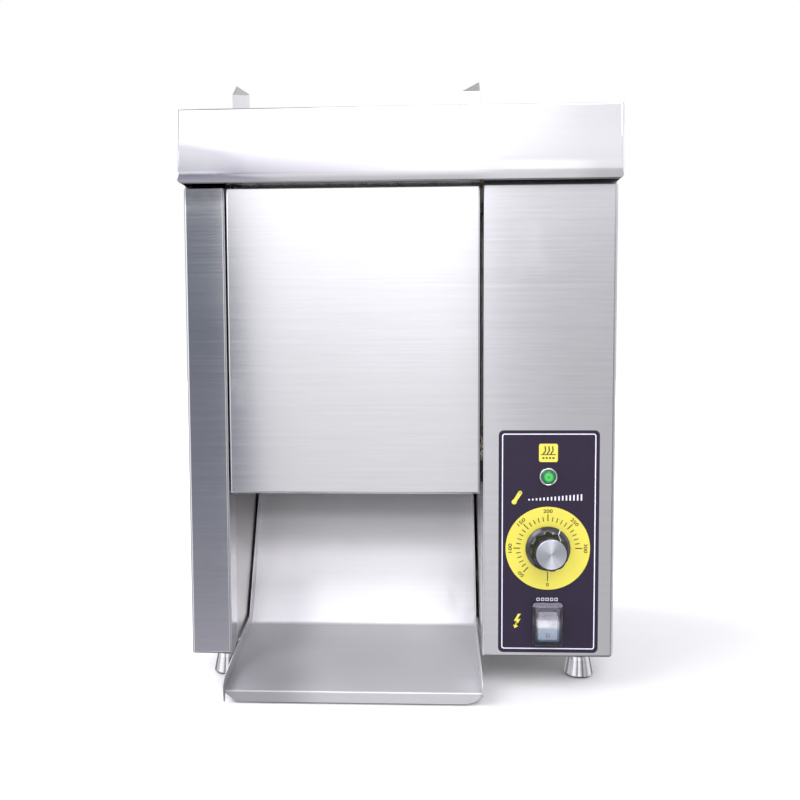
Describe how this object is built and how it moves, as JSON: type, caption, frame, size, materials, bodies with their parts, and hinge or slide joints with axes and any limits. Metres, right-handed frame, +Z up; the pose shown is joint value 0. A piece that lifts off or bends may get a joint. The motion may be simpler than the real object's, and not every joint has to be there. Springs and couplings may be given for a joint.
{
  "type": "conveyor toaster",
  "caption": "Countertop vertical conveyor bun toaster: heated platen between two belts, lift-out feeder, pull-out chute, side control panel with dial, lamp and rocker switch.",
  "frame": {"origin": "centre of the footprint of the whole object's box, on the counter", "axes": "+Z up, +X to the user's right, -Y towards the user (the chute side)"},
  "size_m": [0.4412, 0.3642, 0.6282],
  "materials": {
    "stainless": "brushed stainless sheet, fine vertical grain",
    "stainless_bright": "bright brushed stainless sheet",
    "inner_sheet": "plain mill-finish stainless sheet",
    "plated_steel": "zinc-plated steel",
    "shaft_steel": "ground steel",
    "platen_aluminium": "machined aluminium plate",
    "glass_cloth": "coated glass cloth, tan",
    "belt_wire": "stainless wire belt, straw tinted by heat",
    "heater_sheath": "heat-darkened alloy sheath",
    "ceramic": "unglazed steatite",
    "bronze": "sintered bronze",
    "copper": "drawn copper",
    "zinc_case": "passivated steel case",
    "knob_black": "glossy black",
    "black_plastic": "matte black",
    "spun_aluminium": "radially brushed",
    "panel_film": "dark printed film, satin",
    "dial_yellow": "yellow printed disc",
    "chrome": "polished",
    "lens_green": "translucent green, lit",
    "rocker_grey": "translucent grey-green",
    "clear_hood": "clear soft cover",
    "gear_steel": "hobbed steel, oiled",
    "motor_grey": "grey enamel",
    "terminal_cream": "cream polyamide"
  },
  "bodies": {
    "housing": {"base_pan": "inner_sheet", "left_panel": "stainless", "control_cabinet": "stainless", "left_inner_wall": "inner_sheet", "right_inner_wall": "inner_sheet", "rear_cover": "stainless", "top_cap": "stainless_bright", "foot_pads": "stainless_bright", "foot_studs": "plated_steel", "cover_catches": "black_plastic", "chute_stop_bar": "shaft_steel", "platen": "platen_aluminium", "release_sheet": "glass_cloth", "platen_brackets": "inner_sheet", "heater_rods": "heater_sheath", "heater_insulators": "ceramic", "thermostat_probe": "copper", "thermostat_body": "zinc_case", "control_overlay": "panel_film", "dial_plate": "dial_yellow", "lamp_bezel": "chrome", "lamp_lens": "lens_green", "lamp_nut": "plated_steel", "switch_body": "black_plastic", "switch_hood": "clear_hood", "front_belt": "belt_wire", "rear_belt": "belt_wire", "front_pressure_plate": "inner_sheet", "rear_pressure_plate": "inner_sheet", "shaft_bushes": "bronze", "idler_axle": "shaft_steel", "gear_motor": "motor_grey", "motor_bracket": "plated_steel", "fan_frame": "black_plastic", "fan_guard": "chrome", "terminal_block": "terminal_cream", "cable_gland": "black_plastic", "case_screws": "plated_steel"},
    "cover": {"front_cover": "stainless_bright", "cover_studs": "plated_steel"},
    "chute_tray": {"chute": "stainless"},
    "feeder": {"bun_feeder": "stainless"},
    "temperature_knob": {"thermostat_shaft": "shaft_steel", "knob": "knob_black", "knob_cap": "spun_aluminium"},
    "power_rocker": {"switch_rocker": "rocker_grey"},
    "front_drive": {"front_drive_shaft": "shaft_steel", "front_drive_roller": "inner_sheet", "front_gear": "gear_steel"},
    "front_idler": {"front_idler_shaft": "shaft_steel", "front_idler_roller": "inner_sheet"},
    "rear_drive": {"rear_drive_shaft": "shaft_steel", "rear_drive_roller": "inner_sheet", "rear_gear": "gear_steel"},
    "rear_idler": {"rear_idler_shaft": "shaft_steel", "rear_idler_roller": "inner_sheet"},
    "motor_output": {"motor_shaft": "shaft_steel", "motor_gear": "gear_steel"},
    "reversing_gear": {"idler_gear": "gear_steel"},
    "cooling_fan": {"fan_rotor": "black_plastic"}
  },
  "joints": [
    {"name": "cover_pull_off", "type": "slide", "parent": "housing", "child": "cover", "axis": [0, -1, 0], "range_m": [0, 0.15]},
    {"name": "chute_pull_out", "type": "slide", "parent": "housing", "child": "chute_tray", "axis": [0, -1, 0], "range_m": [0, 0.2]},
    {"name": "feeder_lift_out", "type": "slide", "parent": "housing", "child": "feeder", "axis": [0, 0, 1], "range_m": [0, 0.1]},
    {"name": "temperature_turn", "type": "hinge", "parent": "housing", "child": "temperature_knob", "pos_m": [0.1496, -0.1411, 0.148], "axis": [0, 1, 0], "range_deg": [-212, 58]},
    {"name": "power_rock", "type": "hinge", "parent": "housing", "child": "power_rocker", "pos_m": [0.1496, -0.1381, 0.0702], "axis": [1, 0, 0], "range_deg": [-18, 0]},
    {"name": "front_drive_spin", "type": "hinge", "parent": "housing", "child": "front_drive", "pos_m": [0, -0.0941, 0.525], "axis": [1, 0, 0], "continuous": true},
    {"name": "front_idler_spin", "type": "hinge", "parent": "housing", "child": "front_idler", "pos_m": [0, -0.0941, 0.245], "axis": [1, 0, 0], "continuous": true},
    {"name": "rear_drive_spin", "type": "hinge", "parent": "housing", "child": "rear_drive", "pos_m": [0, 0.0259, 0.525], "axis": [1, 0, 0], "continuous": true},
    {"name": "rear_idler_spin", "type": "hinge", "parent": "housing", "child": "rear_idler", "pos_m": [0, 0.0259, 0.245], "axis": [1, 0, 0], "continuous": true},
    {"name": "motor_output_spin", "type": "hinge", "parent": "housing", "child": "motor_output", "pos_m": [0.097, -0.0541, 0.525], "axis": [1, 0, 0], "continuous": true},
    {"name": "reversing_gear_spin", "type": "hinge", "parent": "housing", "child": "reversing_gear", "pos_m": [0.097, -0.0141, 0.525], "axis": [1, 0, 0], "continuous": true},
    {"name": "cooling_fan_spin", "type": "hinge", "parent": "housing", "child": "cooling_fan", "pos_m": [0.15, 0.1479, 0.33], "axis": [0, 1, 0], "continuous": true}
  ],
  "couplings": [
    {"joint": "front_idler_spin", "follows": "front_drive_spin", "ratio": 1},
    {"joint": "motor_output_spin", "follows": "front_drive_spin", "ratio": -1},
    {"joint": "reversing_gear_spin", "follows": "front_drive_spin", "ratio": 1},
    {"joint": "rear_drive_spin", "follows": "front_drive_spin", "ratio": -1},
    {"joint": "rear_idler_spin", "follows": "front_drive_spin", "ratio": -1}
  ]
}
